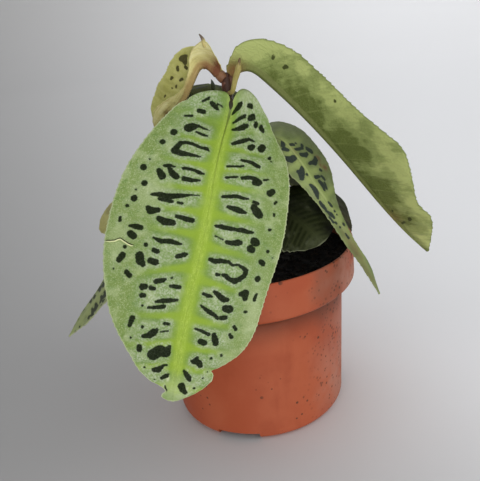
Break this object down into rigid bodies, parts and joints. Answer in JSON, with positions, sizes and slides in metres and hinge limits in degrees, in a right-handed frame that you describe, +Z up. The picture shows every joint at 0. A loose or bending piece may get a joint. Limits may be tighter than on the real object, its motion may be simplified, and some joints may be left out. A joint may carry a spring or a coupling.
{
  "type": "potted plant",
  "caption": "Young foliage plant in a round terracotta-coloured nursery pot: broad, toothed, dark-blotched leaves arch out from an upright stem that stands in dark growing mix.",
  "frame": {"origin": "centre of the pot's underside, on the surface it stands on", "axes": "+Z up along the pot's axis; the large hanging leaf faces -Y; the long folded leaf reaches towards +X"},
  "size_m": [0.1796, 0.1498, 0.1863],
  "materials": {
    "pot": "matte terracotta-coloured plastic, dusty",
    "soil": "dark, crumbly growing mix",
    "stem": "smooth, dark red-purple",
    "bud": "olive-yellow, rolled",
    "leaf_patterned": "quilted green with a bright midrib and dark blotches between pale cross bands",
    "leaf_underside": "olive green, folded so that its plain underside shows",
    "leaf_young": "yellowish tan with a red-brown stalk and small dark spots",
    "leaf_shaded": "dark olive green"
  },
  "bodies": {
    "root": {"pot": "pot", "soil": "soil", "stem": "stem", "bud": "bud", "leaf_front": "leaf_patterned", "leaf_low_right": "leaf_patterned", "leaf_low_left": "leaf_patterned", "leaf_right": "leaf_underside", "leaf_left": "leaf_young", "leaf_inner_right": "leaf_shaded", "leaf_back_right": "leaf_shaded", "leaf_back_left": "leaf_patterned", "leaf_back": "leaf_shaded"}
  },
  "joints": []
}
